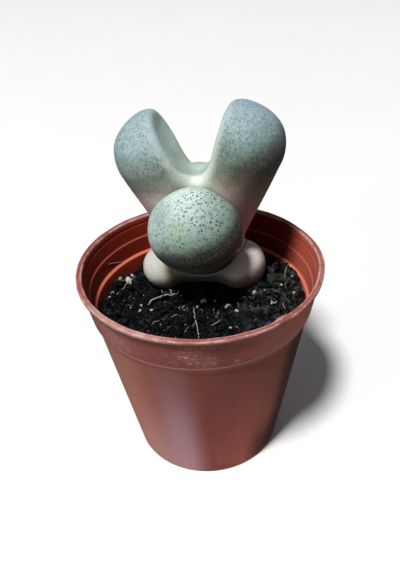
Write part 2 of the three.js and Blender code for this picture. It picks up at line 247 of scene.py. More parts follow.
# Centres and reaches of the scuffed places on the collar and lip.
SCUFFS = (
    ((-18.4, -18.2, 43.8), 4.5),
    ((-3.0, -26.0, 45.2), 3.2),
    ((0.2, -25.8, 43.2), 2.6),
    ((6.2, -24.8, 42.1), 1.2),
    ((14.7, -21.1, 42.7), 0.8),
    ((-20.0, -17.0, 49.0), 5.0),
)

SOIL_LEVEL = 39.4
SOIL_SLOPE = 0.05
SOIL_LUMPS = 70
SOIL_SEED = 11
# Places beside the old leaves where the peat has sunk or is banked up, as x, y, reach and rise.
SOIL_SWELLS = ((-14.5, 15.5, 3.5, -1.3), (12.4, 0.6, 2.8, 2.3))
# The crumbs in the surface as size, rise and seed, from clods to dust, and how far they are sunk in it.
SOIL_CRUMBS = ((4.6, 1.6, 34), (2.4, 1.2, 31), (1.2, 0.5, 32), (0.62, 0.28, 33))
SOIL_SINK = 1.65
SOIL_TURNS = 520
SOIL_RINGS = 120
PEAT_CRUMBS = 1700
# How far from the pot's axis small loose things are placed, and how far out they may end.
CRUMB_REACH = 23.0
CRUMB_LIMIT = 23.2
GRAIN_REACH = 22.3
FIBRE_REACH = 21.5
FIBRE_LIMIT = 23.3
# Pale grains as x, y, radius and how tan they are, most of them as the photograph shows them and three guessed
# behind the plant. The larger ones are in the solid too.
GRAINS = (
    (-17.5, 9.9, 0.95, 0.0), (-19.7, 10.4, 0.6, 0.9), (-21.3, 6.2, 0.6, 0.7), (0.35, -1.7, 0.8, 0.0),
    (6.0, -3.8, 1.15, 0.0), (2.2, -4.6, 0.32, 0.0), (-14.0, -1.4, 0.42, 0.5), (-14.2, -3.0, 0.42, 0.7),
    (-11.6, -3.0, 0.35, 0.0), (-1.2, -3.7, 0.4, 0.3), (6.4, 0.0, 0.25, 0.0), (8.2, -1.9, 0.28, 0.0),
    (15.7, -4.9, 0.25, 0.0), (20.0, 8.0, 0.5, 0.4), (18.9, 2.2, 0.3, 0.3), (20.7, 1.2, 0.42, 0.0),
    (21.7, 4.9, 0.3, 0.1), (21.9, 9.3, 0.35, 0.3), (21.7, 7.6, 0.35, 0.0), (21.3, -0.9, 0.3, 0.3),
    (16.9, 2.2, 0.28, 0.2), (15.3, 0.5, 0.3, 0.1), (12.1, -2.0, 0.6, 0.35), (18.4, -3.9, 0.28, 0.1),
    (7.7, -6.3, 0.5, 0.4), (6.0, -11.5, 0.6, 0.3), (-7.2, 20.4, 0.9, 0.1), (8.2, 19.9, 0.8, 0.4),
    (-20.6, 3.6, 0.3, 0.0), (-21.9, 4.7, 0.5, 0.0), (-17.0, 13.4, 0.5, 0.4), (13.0, 19.0, 0.45, 0.1),
)  # fmt: skip
SMALL_GRAINS = 110
# Root fibres as radius, how tan they are, and the places on the peat that they pass.
FIBRES = (
    (0.11, 0.05, ((-1.3, -1.3), (-2.0, -2.9), (-1.9, -5.1), (-1.7, -7.7), (-1.3, -10.6), (-1.0, -14.0))),
    (0.17, 0.25, ((-12.6, -1.2), (-10.7, -0.2), (-8.3, 0.6), (-5.7, 1.6))),
    (0.11, 0.35, ((-7.9, 4.0), (-6.9, 2.8), (-7.3, 2.1), (-5.9, 1.8))),
    (0.10, 0.5, ((-9.2, 3.6), (-9.3, 2.9), (-8.9, 2.0))),
    (0.12, 0.3, ((-5.5, 3.4), (-5.4, 2.2), (-5.9, 1.2))),
    (0.08, 0.1, ((-16.0, 11.6), (-17.4, 9.4), (-18.4, 7.4), (-19.4, 6.0), (-20.7, 4.5))),
    (0.12, 0.3, ((-3.9, -3.3), (-4.6, -4.3))),
    (0.08, 0.2, ((-7.1, -5.8), (-6.3, -5.3), (-5.5, -5.3))),
    (0.10, 0.4, ((-10.4, -6.7), (-10.8, -7.4), (-11.4, -8.2))),
    (0.09, 0.4, ((-9.6, -7.5), (-10.5, -8.2))),
    (0.08, 0.3, ((-3.1, -10.3), (-3.6, -11.1), (-4.2, -11.7))),
    (0.10, 0.0, ((2.6, -3.8), (2.5, -5.3))),
    (0.09, 0.3, ((3.9, -8.7), (2.9, -9.8), (1.7, -10.5))),
    (0.08, 0.2, ((8.6, -3.8), (8.0, -4.8))),
    (0.14, 0.0, ((15.5, -4.2), (15.7, -5.4), (16.2, -5.9), (16.7, -5.3))),
    (0.09, 0.5, ((20.7, 7.0), (20.3, 5.4), (19.9, 3.7))),
    (0.08, 0.4, ((18.0, -5.0), (18.2, -6.6), (18.2, -8.2))),
    (0.08, 0.3, ((6.8, -11.8), (7.6, -12.6))),
)  # fmt: skip
SHORT_FIBRES = 110
WALL_FIBRE = ((-22.2, 11.0, 43.6), (-20.8, 13.3, 42.4), (-19.3, 15.0, 41.4))  # stuck to the inside of the pot
ROOT_CENTRE = (0.9, 9.2)
ROOT_HOLE = 3.65
ROOT_TIP = (14.0, 1.35)


def tone(red, green, blue):
    """A colour given in screen values from 0 to 255, as Blender's linear colour."""
    levels = (value / 255 for value in (red, green, blue))
    linear = [v / 12.92 if v <= 0.04045 else ((v + 0.055) / 1.055) ** 2.4 for v in levels]
    return (*linear, 1.0)


class Shader:
    """Builds one node material. Its methods return output sockets and take sockets or plain values.

    Lengths are in millimetres. A colour is a socket, or three screen values from 0 to 255.
    """

    def __init__(self, name):
        self.material = bpy.data.materials.new(name)
        self.material.use_nodes = True
        self.tree = self.material.node_tree
        self.surface = self.tree.nodes["Principled BSDF"]
        self.place = self.node("ShaderNodeTexCoord").outputs["Object"]

    def put(self, socket, value):
        if isinstance(value, bpy.types.NodeSocket):
            self.tree.links.new(value, socket)
        else:
            socket.default_value = value

    def node(self, kind, inputs=(), **settings):
        node = self.tree.nodes.new(kind)
        for key, value in settings.items():
            setattr(node, key, value)
        for key, value in dict(inputs).items():
            self.put(node.inputs[key], value)
        return node

    def set(self, **values):
        """Sets the surface's own sockets: base_color is Base Color, and so on."""
        names = {socket.name.lower().replace(" ", "_"): socket for socket in self.surface.inputs}
        for key, value in values.items():
            self.put(names[key], value)

    def noise(self, size, detail=2.0, roughness=0.5, place=None):
        """Soft noise with blobs of about this size."""
        place = place or self.place
        inputs = {"Vector": place, "Scale": 1 / MM / size, "Detail": detail, "Roughness": roughness}
        return self.node("ShaderNodeTexNoise", inputs).outputs["Fac"]

    def cells(self, size, randomness=1.0, output="Distance", place=None):
        """Distance to the nearest of points scattered about this far apart."""
        inputs = {"Vector": place or self.place, "Scale": 1 / MM / size, "Randomness": randomness}
        return self.node("ShaderNodeTexVoronoi", inputs).outputs[output]

    def stretched(self, x=1.0, y=1.0, z=1.0):
        inputs = {"Vector": self.place, "Scale": (x, y, z)}
        return self.node("ShaderNodeMapping", inputs).outputs["Vector"]

    def calc(self, operation, a, b=0.0):
        return self.node("ShaderNodeMath", {0: a, 1: b}, operation=operation).outputs[0]

    def times(self, product, *others):
        for other in others:
            product = self.calc("MULTIPLY", product, other)
        return product

    def vector(self, operation, a, b=(0.0, 0.0, 0.0), output="Vector"):
        return self.node("ShaderNodeVectorMath", {0: a, 1: b}, operation=operation).outputs[output]

    def span(self, value, low, high, start=0.0, end=1.0):
        """Maps low..high to start..end with soft ends, and holds the ends beyond them."""
        if high < low:
            low, high, start, end = high, low, end, start
        inputs = {"Value": value, "From Min": low, "From Max": high, "To Min": start, "To Max": end}
        return self.node("ShaderNodeMapRange", inputs, interpolation_type="SMOOTHSTEP").outputs["Result"]

    def mix(self, share, under, over, blend="MIX"):
        """Lays one colour over another, by a share from 0 to 1."""
        node = self.node("ShaderNodeMix", data_type="RGBA", blend_type=blend)
        self.put(node.inputs[0], share)
        for index, colour in ((6, under), (7, over)):
            self.put(node.inputs[index], tone(*colour) if isinstance(colour, tuple) else colour)
        return node.outputs[2]

    def ramp(self, value, stops):
        """The colour for a value, from (value, colour) stops in rising order."""
        low, high = stops[0][0], stops[-1][0]
        inputs = {"Value": value, "From Min": low, "From Max": high}
        share = self.node("ShaderNodeMapRange", inputs).outputs["Result"]
        node = self.node("ShaderNodeValToRGB", {"Fac": share})
        elements = node.color_ramp.elements
        while len(elements) < len(stops):
            elements.new(1.0)
        for element, (position, colour) in zip(elements, stops):
            element.position = (position - low) / (high - low)
            element.color = tone(*colour)
        return node.outputs["Color"]

    def measure(self, name):
        """A number that the mesh holds for each point."""
        return self.node("ShaderNodeAttribute", attribute_name=name).outputs["Fac"]

    def axis(self, index):
        """The place along X, Y or Z."""
        parts = self.node("ShaderNodeSeparateXYZ", {0: self.place})
        return self.times(parts.outputs[index], 1 / MM)

    def near(self, centre, radius, soft, most=1.0):
        """The most within radius of a point, falling to 0 over the soft width."""
        point = tuple(value * MM for value in centre)
        gap = self.vector("DISTANCE", self.place, point, "Value")
        return self.span(gap, (radius + soft) * MM, radius * MM, 0.0, most)

    def facing(self, direction):
        """How squarely the surface faces a direction, from -1 to 1."""
        normal = self.node("ShaderNodeNewGeometry").outputs["Normal"]
        return self.vector("DOT_PRODUCT", normal, tuple(Vector(direction).normalized()), "Value")

    def around(self, direction):
        """How nearly a place lies in a level direction from the pot's axis, from -1 to 1."""
        level = self.vector("NORMALIZE", self.vector("MULTIPLY", self.place, (1.0, 1.0, 0.0)))
        return self.vector("DOT_PRODUCT", level, (*direction, 0.0), "Value")

    def bump(self, height, depth, normal=None):
        """Relief of this depth for a height that runs from 0 to 1."""
        inputs = {"Height": height, "Strength": 1.0, "Distance": depth * MM}
        if normal:
            inputs["Normal"] = normal
        return self.node("ShaderNodeBump", inputs).outputs["Normal"]


def smooth_min(a, b, k):
    h = np.maximum(k - np.abs(a - b), 0) / k
    return np.minimum(a, b) - h * h * k * 0.25


def smooth_max(a, b, k):
    return -smooth_min(-a, -b, k)


def round_cone(r, w, z, tip_r, tip_z, radii):
    """Distance to a cone with round ends, from the origin to the point (tip_r, 0, tip_z)."""
    length_squared = tip_r * tip_r + tip_z * tip_z
    drop = radii[0] - radii[1]
    slant_squared = length_squared - drop * drop
    along = r * tip_r + z * tip_z
    beyond = along - length_squared
    side = (
        (r * length_squared - along * tip_r) ** 2
        + (w * length_squared) ** 2
        + (z * length_squared - along * tip_z) ** 2
    )
    limit = np.sign(drop) * drop * drop * side
    cone = (np.sqrt(side * slant_squared / length_squared) + along * drop) / length_squared - radii[0]
    low_end = np.sqrt(side + along**2 * length_squared) / length_squared - radii[0]
    far_end = np.sqrt(side + beyond**2 * length_squared) / length_squared - radii[1]
    at_low = np.sign(along) * slant_squared * along**2 * length_squared < limit
    at_far = np.sign(beyond) * slant_squared * beyond**2 * length_squared > limit
    return np.where(at_far, far_end, np.where(at_low, low_end, cone))


def ellipsoid(points, centre, radii):
    scaled = (points - np.array(centre)) / np.array(radii)
    k = np.linalg.norm(scaled, axis=-1)
    slope = np.linalg.norm(scaled / np.array(radii), axis=-1)
    return k * (k - 1) / np.maximum(slope, 1e-9)


def leaf_heading(pair, index):
    """The level direction in which one leaf leans out from the pair's base, as its X and Y."""
    angle = math.radians(pair["turn"] + 180 * index + pair["leaves"][index]["twist"])
    return math.cos(angle), math.sin(angle)


def leaf_place(points, pair, index):
    """A point in one leaf's own directions: outwards, sideways and up from the pair's base."""
    out_x, out_y = leaf_heading(pair, index)
    x, y, up = np.moveaxis(points - np.array(pair["base"]), -1, 0)
    return x * out_x + y * out_y, y * out_x - x * out_y, up


def leaf_tip(leaf):
    lean = math.radians(leaf["lean"])
    return leaf["length"] * math.sin(lean), leaf["length"] * math.cos(lean)


def flattened(body, points, pair, index):
    """One leaf's body with its flats, where it has any."""
    leaf = pair["leaves"][index]
    out_x, out_y = leaf_heading(pair, index)
    reach, rise = leaf_tip(leaf)
    centre = np.array(pair["base"]) + (reach * out_x, reach * out_y, rise)
    for direction, distance in leaf.get("flats", ()):
        flat = (points - centre) @ (np.array(direction) / np.linalg.norm(direction)) - distance
        body = smooth_max(body, flat, FLAT_BLEND)
    return body


def leaf_parts(points, pair):
    """Distances of the two leaf bodies and of the fissure between them."""
    bodies, faces = [], []
    for index, leaf in enumerate(pair["leaves"]):
        r, w, h = leaf_place(points, pair, index)
        body = round_cone(r, w / pair["width"], h, *leaf_tip(leaf), leaf["radii"])
        bodies.append(flattened(body, points, pair, index))
        lean = math.radians(leaf["face_lean"])
        reach, dish = pair["face_reach"], pair["face_dish"]
        centre_r = leaf["shift"] + reach * math.sin(lean) - dish * math.cos(lean)
        centre_h = pair["saddle"] + reach * math.cos(lean) + dish * math.sin(lean)
        faces.append(dish - np.sqrt((r - centre_r) ** 2 + w**2 + (h - centre_h) ** 2))
    return bodies, smooth_min(faces[0], faces[1], pair["fissure_blend"])


def pair_body(points, pair, bodies):
    body = smooth_min(bodies[0], bodies[1], pair["body_blend"])
    sheath = pair.get("sheath")
    if sheath:
        lump = ellipsoid(points, sheath["centre"], sheath["radii"])
        lump = smooth_max(lump, points[..., 2] - sheath["top"], 1.2)
        body = smooth_min(body, lump, sheath["blend"])
    return body


def pair_distance(points, pair):
    bodies, fissure = leaf_parts(points, pair)
    body = smooth_max(pair_body(points, pair, bodies), fissure, pair["rim_blend"])
    return smooth_max(body, pair["bottom"] - points[..., 2], pair["bottom_blend"])


def young_distance(points):
    swelling = ellipsoid(points, SWELLING["centre"], SWELLING["radii"])
    return smooth_min(pair_distance(points, YOUNG_PAIR), swelling, SWELLING["blend"])


def middle_distance(points):
    return smooth_max(pair_distance(points, MIDDLE_PAIR), CLOSE_GAP - young_distance(points), 0.35)


def old_distance(points):
    inner = np.minimum(pair_distance(points, MIDDLE_PAIR), young_distance(points))
    return smooth_max(pair_distance(points, OLD_PAIR), CLOSE_GAP - inner, 0.35)


def lattice_noise(points, size, seed):
    """Smooth noise from -1 to 1, with blobs of about this size."""
    scaled = np.asarray(points, float) / size + 400
    cell = np.floor(scaled).astype(np.int64)
    part = scaled - cell
    part = part * part * (3 - 2 * part)
    total = 0
    for corner in range(8):
        step = np.array([corner & 1, corner >> 1 & 1, corner >> 2 & 1])
        where = cell + step
        code = where[..., 0] * 73856093 ^ where[..., 1] * 19349663 ^ where[..., 2] * 83492791 ^ seed * 2654435
        code = (code ^ code >> 13) * 1274126177 & 0x7FFFFFFF
        code = (code ^ code >> 15) * 668265263 & 0x7FFFFFFF
        weight = np.prod(np.where(step, part, 1 - part), axis=-1)
        total = total + weight * (code / 0x7FFFFFFF * 2 - 1)
    return total


def layered_noise(points, *layers):
    """Smooth noise of several sizes, each layer given as its size, strength and seed."""
    return sum(strength * lattice_noise(points, size, seed) for size, strength, seed in layers)


def crumbs(x, y, size, seed):
    """Round bumps of about this size, side by side: 0 between them, up to 1 on top of the highest."""
    u, v = x / size + 300, y / size + 300
    cu, cv = np.floor(u).astype(np.int64), np.floor(v).astype(np.int64)
    best = np.zeros(np.broadcast(x, y).shape)
    for du in (-1, 0, 1):
        for dv in (-1, 0, 1):
            iu, iv = cu + du, cv + dv
            code = iu * 73856093 ^ iv * 19349663 ^ seed * 83492791
            draws = []
            for turn in range(4):
                code = (code ^ code >> 13) * 1274126177 + turn * 12345 & 0x7FFFFFFF
                code = (code ^ code >> 15) * 668265263 & 0x7FFFFFFF
                draws.append(code / 0x7FFFFFFF)
            radius = 0.45 + 0.5 * draws[2]
            away = ((u - iu - draws[0]) ** 2 + (v - iv - draws[1]) ** 2) / radius**2
            height = (0.25 + 0.75 * draws[3]) * np.sqrt(np.maximum(1 - away, 0))
            best = np.maximum(best, height)
    return best


def surface_mesh(field, box, cell):
    """Points and quads on the zero surface of a distance field, about a cell apart."""
    low, high = np.array(box[0], float), np.array(box[1], float)
    axes = [np.arange(a, b + cell, cell) for a, b in zip(low, high)]
    values = np.stack([field(np.stack(np.meshgrid([x], *axes[1:], indexing="ij"), -1))[0] for x in axes[0]])
    inside = values < 0
    corner_steps = [(n & 1, n >> 1 & 1, n >> 2 & 1) for n in range(8)]
    shape = np.array(values.shape) - 1
    filled = sum(
        inside[a : a + shape[0], b : b + shape[1], c : c + shape[2]].astype(np.int8)
        for a, b, c in corner_steps
    )
    crossed = (filled > 0) & (filled < 8)
    cells = np.argwhere(crossed)
    number = np.full(crossed.shape, -1)
    number[crossed] = np.arange(len(cells))
    corner_values = [values[tuple((cells + step).T)] for step in corner_steps]
    total = np.zeros((len(cells), 3))
    crossings = np.zeros(len(cells))
    for n, start in enumerate(corner_steps):
        for axis in range(3):
            other = n | 1 << axis
            if other == n:
                continue
            a, b = corner_values[n], corner_values[other]
            cuts = (a < 0) != (b < 0)
            t = np.where(cuts, a / np.where(cuts, a - b, 1), 0)
            spot = np.repeat([np.array(start, float)], len(cells), 0)
            spot[:, axis] += t
            total += spot * cuts[:, None]
            crossings += cuts
    points = low + (cells + total / crossings[:, None]) * cell
    # Each point starts amid its cell's crossings, and three small steps bring it onto the surface.
    for _ in range(3):
        value = field(points)
        slope = field_slope(field, points)
        steep = np.maximum((slope**2).sum(-1), 0.25)
        points -= np.clip(value[:, None] * slope / steep[:, None], -cell / 2, cell / 2)
    quads = []
    for axis in range(3):
        ahead = np.roll(inside, -1, axis) != inside
        ahead[tuple(-1 if n == axis else slice(None) for n in range(3))] = False
        here = np.argwhere(ahead)
        here = here[(here > 0).all(1) & (here < shape).all(1)]
        u, v = np.eye(3, dtype=int)[(axis + 1) % 3], np.eye(3, dtype=int)[(axis + 2) % 3]
        quad = np.stack([number[tuple(c.T)] for c in (here - u - v, here - v, here, here - u)], 1)
        outward = inside[tuple(here.T)]
        quads.append(np.where(outward[:, None], quad, quad[:, ::-1]))
    return largest_part(points, np.concatenate(quads))


def field_slope(field, points, step=0.02):
    return np.stack([field(points + e) - field(points - e) for e in np.eye(3) * step], -1) / (2 * step)


def largest_part(points, quads):
    """Leaves out loose crumbs at a thin rim."""
    label = np.arange(len(points))
    while True:
        before = label.copy()
        least = label[quads].min(1)
        for column in range(4):
            np.minimum.at(label, quads[:, column], least)
        label = label[label]
        if (label == before).all():
            break
    names, counts = np.unique(label, return_counts=True)
    kept = label == names[counts.argmax()]
    renumber = np.cumsum(kept) - 1
    return points[kept], renumber[quads[kept[quads[:, 0]]]]


def mesh_object(name, points, faces):
    """A bare object from points in millimetres."""
    mesh = bpy.data.meshes.new(name)
    mesh.from_pydata((np.asarray(points) * MM).tolist(), [], [list(face) for face in faces])
    thing = bpy.data.objects.new(name, mesh)
    bpy.context.scene.collection.objects.link(thing)
    return thing


def dress(piece, material, measures=(), smooth=True, replaced=()):
    """Gives a piece its skin, and its place on the part's one body. measures are numbers for each point."""
    mesh = piece.data
    for key, values in dict(measures).items():
        mesh.attributes.new(key, "FLOAT", "POINT").data.foreach_set("value", np.asarray(values, np.float32))
    mesh.polygons.foreach_set("use_smooth", np.full(len(mesh.polygons), smooth))
    mesh.update()
    mesh.materials.clear()
    mesh.materials.append(material)
    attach(piece, "root")
    for node in replaced:
        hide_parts(node)


def ring_angles(count):
    return np.arange(count) * 2 * math.pi / count


def circle(radius, count, height=0.0, centre=(0.0, 0.0)):
    """Points round a level circle, or round many where radius and height are columns."""
    angles = ring_angles(count)
    x, y = centre[0] + radius * np.cos(angles), centre[1] + radius * np.sin(angles)
    return np.stack([x, y, height + 0 * angles], -1)


def loft(rings):
    """Points and faces of a shell through rings of equal length, with a flat cap at each end."""
    rows, columns = rings.shape[:2]
    index = np.arange(rows * columns).reshape(rows, columns)
    after = np.roll(index, -1, 1)
    quads = np.stack([index[:-1], after[:-1], after[1:], index[1:]], -1).reshape(-1, 4)
    return rings.reshape(-1, 3), quads.tolist() + [index[0][::-1].tolist(), index[-1].tolist()]


def leaf_measures(points, pair):
    """What the skin's colours need: how far along its leaf a point lies, and how far onto the inner face."""
    bodies, fissure = leaf_parts(points, pair)
    along = []
    for index, leaf in enumerate(pair["leaves"]):
        r, _, h = leaf_place(points, pair, index)
        tip_r, tip_h = leaf_tip(leaf)
        along.append((r * tip_r + h * tip_h) / leaf["length"] ** 2)
    share = 1 / (1 + np.exp(np.clip((bodies[0] - bodies[1]) / 0.8, -30, 30)))
    return {
        "along": share * along[0] + (1 - share) * along[1],
        "face": fissure - pair_body(points, pair, bodies),
        "leaf": share,
    }


def build_leaf_pair(name, field, box, pair, material, seed):
    def swollen(points):
        return field(points) - layered_noise(points, (5.5, 0.10, seed), (1.7, 0.03, seed + 1)) + 0.03

    points, quads = surface_mesh(swollen, box, SKIN_CELL)
    skin = mesh_object(name + "_skin", points, quads)
    dress(skin, material, leaf_measures(points, pair), replaced=[name])


def young_colour(shader):
    depth = shader.measure("face")
    waver = shader.span(shader.noise(6.0, 2.0), 0.25, 0.75, -0.035, 0.035)
    along = shader.calc("ADD", shader.measure("along"), waver)
    colours = {part: shader.ramp(along, stops) for part, stops in YOUNG_SKIN.items()}
    # Painted light and shade: lit and shaded copies of the skin, picked by how squarely it faces the light.
    shaded = shader.span(shader.facing(WINDOW_DIRECTION), 0.45, 0.05)
    left, right = (
        shader.mix(shaded, colours[side + "_bright"], colours[side + "_shaded"]) for side in ("left", "right")
    )
    skin = shader.mix(shader.measure("leaf"), left, right)
    skin = shader.mix(shader.span(depth, -2.6, -0.5), skin, colours["margin"])
    skin = shader.mix(shader.span(depth, 0.0, 0.9), skin, colours["face"])
    # A faint painted highlight along the face's edge, near the leaf's tip.
    edge = shader.times(shader.span(depth, -0.8, -0.1), shader.span(depth, 0.7, 0.1))
    by_tip = shader.times(shader.span(along, 0.95, 1.05), shader.span(along, 1.2, 1.12))
    skin = shader.mix(shader.times(edge, by_tip, 0.4), skin, (214, 232, 230))
    # The swelling: painted light at its front, painted shade at its back.
    swelling = shader.near(SWELLING["centre"], 3.0, 1.6)
    dome = shader.ramp(shader.axis(1), SWELLING_COLOURS)
    return shader.mix(shader.times(swelling, shader.span(depth, -1.2, 0.2)), skin, dome)


def middle_colour(shader):
    # Painted light and shade: the colour follows how squarely the skin faces the light.
    skin = shader.ramp(shader.facing(WINDOW_DIRECTION), MIDDLE_SKIN)
    # Painted light on the flank and crown, painted shade on the shoulder.
    for centre, radius, soft, most, colour in MIDDLE_PATCHES:
        skin = shader.mix(shader.near(centre, radius, soft, most), skin, colour)
    # The pale base by the right lump, painted near white as light.
    base = shader.times(shader.span(shader.measure("along"), 1.02, 0.9), shader.near(PALE_BASE_PAINTED_LIGHT, 1.5, 4.5))
    skin = shader.mix(base, skin, (248, 240, 232))
    # The pair's far leaf is hidden in the photograph, so it only carries a plain skin.
    skin = shader.mix(shader.span(shader.axis(1), 5.0, 12.0, 0.0, 0.75), skin, (142, 166, 152))
    blotchy = shader.span(shader.noise(1.4, 3.0), 0.3, 0.65, 0.0, 0.55)
    return shader.mix(shader.times(shader.near(YELLOW_PATCH, 0.8, 2.6), blotchy), skin, (160, 180, 116))


def old_colour(shader):
    waver = shader.span(shader.noise(4.0, 2.0), 0.25, 0.75, -0.06, 0.06)
    skin = shader.ramp(shader.calc("ADD", shader.measure("along"), waver), OLD_SKIN)
    # Painted light: paler toward the right lump.
    skin = shader.mix(shader.span(shader.axis(0), -4.0, 8.0, 0.0, 0.5), skin, (240, 240, 235))
    # Painted shade where the skin turns away from the light.
    return shader.mix(shader.span(shader.facing(WINDOW_DIRECTION), 0.5, -0.05, 0.0, 0.9), skin, (76, 70, 60))


def dot_layer(shader, place, size, least, most):
    """Round dots about size apart, with radii between least and most of that."""
    own = shader.span(shader.cells(size, 0.9, "Color", place=place), 0.25, 0.75, least, most)
    return shader.span(shader.calc("SUBTRACT", shader.cells(size, 0.9, place=place), own), 0.05, -0.06)


def leaf_material(name, colour, dots, spacing, mottling, stretch=1.0):
    """Waxy, speckled skin. spacing is how far apart its larger dots are, and mottling how blotchy it is."""
    shader = Shader(name)
    skin = colour(shader)
    strength = dots(shader)
    mottle = shader.noise(0.8, 3.0, 0.6)
    blotch = shader.times(shader.span(mottle, 0.36, 0.66), shader.span(strength, 0.0, 0.4, 0.35, 1.0))
    skin = shader.mix(shader.times(blotch, mottling), skin, (96, 112, 100), "MULTIPLY")
    grain = shader.noise(0.3, 2.0, 0.6)
    skin = shader.mix(shader.span(grain, 0.4, 0.66, 0.0, 0.12), skin, (240, 246, 240))
    place = shader.stretched(z=stretch)
    small = shader.times(dot_layer(shader, place, 0.62 * spacing, 0.22, 0.40), 0.7)
    dot = shader.calc("MAXIMUM", dot_layer(shader, place, spacing, 0.27, 0.40), small)
    dot = shader.times(dot, strength)
    matt = shader.calc("SUBTRACT", mottle, shader.times(dot, 0.3))
    shader.set(
        base_color=shader.mix(dot, skin, (52, 76, 72)),
        roughness=shader.span(matt, 0.2, 0.8, 0.50, 0.66),
        specular_ior_level=0.3,
        subsurface_weight=0.08,
        subsurface_radius=(1.0, 0.75, 0.5),
        subsurface_scale=0.0012,
        sheen_weight=0.06,
        sheen_roughness=0.5,
        normal=shader.bump(grain, 0.02, shader.bump(shader.times(dot, -1.0), 0.03)),
    )
    return shader.material


def young_dots(shader):
    patchy = shader.span(shader.noise(5.0, 2.0), 0.30, 0.62, 0.45, 1.0)
    upward = shader.span(shader.measure("along"), 0.80, 1.05, 0.0, 0.46)
    outside = shader.span(shader.measure("face"), -0.3, -2.2, 0.08, 1.0)
    on_dome = shader.near(SWELLING["centre"], 2.8, 1.2, 0.6)
    return shader.calc("MAXIMUM", shader.times(patchy, upward, outside), on_dome)


def middle_dots(shader):
    patchy = shader.span(shader.noise(4.5, 2.0), 0.32, 0.60, 0.55, 1.0)
    bright = shader.span(shader.facing(WINDOW_DIRECTION), 0.05, 0.35, 0.1, 0.88)
    fewer = shader.span(shader.near(DOTLESS_PATCH, 0.5, 4.0), 0.0, 1.0, 1.0, 0.3)
    side = shader.span(shader.axis(0), -9.0, 2.0, 0.62, 1.0)
    return shader.times(patchy, bright, fewer, side)


def old_dots(shader):
    return shader.span(shader.noise(4.0, 2.0), 0.45, 0.7, 0.0, 0.12)


def pot_inner_radius(z):
    taper = (POT["body_top_radius"] - POT["base_radius"]) / POT["step_height"]
    return POT["base_radius"] + taper * z - POT["wall"]


def pot_outline():
    """The shell's section as (radius, height), outside from the bottom up and down the inside."""
    height, rim = POT["height"], POT["rim_radius"]
    base, step, top = POT["base_radius"], POT["step_height"], POT["body_top_radius"]
    low, high, wall, floor = POT["collar_bottom_radius"], POT["collar_top_radius"], POT["wall"], POT["floor"]
    under, inner = height - POT["lip_thickness"], high - wall
    # Each corner: radius, height, and how far along its sides it is rounded.
    corners = [
        (0.01, 0, 0), (base, 0, 0.4), (top, step, 0.15), (low, step, 0.25), (high, under, 0.12),
        (rim, under, 0.2), (rim, height, 0.28), (rim - 1.2, height, 0.22),
        (inner - 0.15, height - 1.3, 0.2), (inner - 0.05, height - 1.65, 0.15),
        (inner - 0.3, height - 2.0, 0.15), (inner - 0.72, height - 4.5, 0.15),
        (inner - 0.78, height - 4.8, 0.12), (inner - 1.02, height - 5.1, 0.15),
        (low - wall + 0.08, step + 0.4, 0.15), (top - wall, step + 0.1, 0.25),
        (pot_inner_radius(floor), floor, 0.6), (0.01, floor, 0),
    ]  # fmt: skip
    outline = [corners[0][:2]]
    for before, corner, after in zip(corners, corners[1:], corners[2:]):
        here = np.array(corner[:2])
        back, on = np.array(before[:2]) - here, np.array(after[:2]) - here
        reach = min(corner[2], np.linalg.norm(back) * 0.45, np.linalg.norm(on) * 0.45)
        start = here + back / np.linalg.norm(back) * reach
        end = here + on / np.linalg.norm(on) * reach
        for t in np.linspace(0, 1, 4):
            outline.append(tuple((1 - t) ** 2 * start + 2 * t * (1 - t) * here + t * t * end))
    outline.append(corners[-1][:2])
    return np.array(outline)


def split_long_steps(outline, longest):
    points = [outline[0]]
    for point in outline[1:]:
        count = max(1, math.ceil(np.linalg.norm(point - points[-1]) / longest))
        points += [points[-1] + (point - points[-1]) * n / count for n in range(1, count + 1)]
    return np.array(points)


def build_pot(material):
    outline = split_long_steps(pot_outline(), OUTLINE_STEP)
    radius, height = outline[:, :1], outline[:, 1:]
    rings = circle(radius, POT_SEGMENTS, height)
    # The thin rim is a little out of round, and bent inward in one place.
    near_rim = np.clip((height - POT["height"]) / RIM_ZONE + 1, 0, 1)
    rings[..., :2] *= 1 + (near_rim * layered_noise(rings, *RIM_WAVERS))[..., None]
    rings[..., 2] += near_rim**2 * layered_noise(rings, *RIM_RIPPLES)
    turned = np.angle(np.exp(1j * (ring_angles(POT_SEGMENTS) - math.radians(NICK["azimuth"]))))
    nick = near_rim**4 * np.exp(-((turned * POT["rim_radius"] / NICK["width"]) ** 2))
    rings[..., :2] *= 1 - NICK["push"] * nick[..., None] / POT["rim_radius"]
    rings[..., 2] = np.minimum(rings[..., 2], POT["height"] + RIM_ROOM)
    shell = mesh_object("pot_shell", *loft(rings))
    drill_drain_holes(shell)
    dress(shell, material, replaced=["pot"])


def drill_drain_holes(shell):
    drills = []
    for n in range(POT["drain_holes"]):
        turn = 2 * math.pi * (n + 0.5) / POT["drain_holes"]
        centre = (POT["drain_circle_radius"] * math.cos(turn), POT["drain_circle_radius"] * math.sin(turn))
        rings = np.stack([circle(POT["drain_hole_radius"], DRILL_SIDES, z, centre) for z in DRILL_ENDS])
        drills.append(mesh_object("drill", *loft(rings)))
        cut = shell.modifiers.new("cut", "BOOLEAN")
        cut.operation, cut.solver, cut.object = "DIFFERENCE", "EXACT", drills[-1]
    depsgraph = bpy.context.evaluated_depsgraph_get()
    drilled = bpy.data.meshes.new_from_object(shell.evaluated_get(depsgraph))
    shell.modifiers.clear()
    shell.data = drilled
    for drill in drills:
        bpy.data.objects.remove(drill)


def tinted(shader, colour, tints):
    """A colour with painted light and shade laid over it where the surface faces given directions."""
    for direction, start, full, most, tint in tints:
        colour = shader.mix(shader.span(shader.facing(direction), start, full, 0.0, most), colour, tint)
    return colour


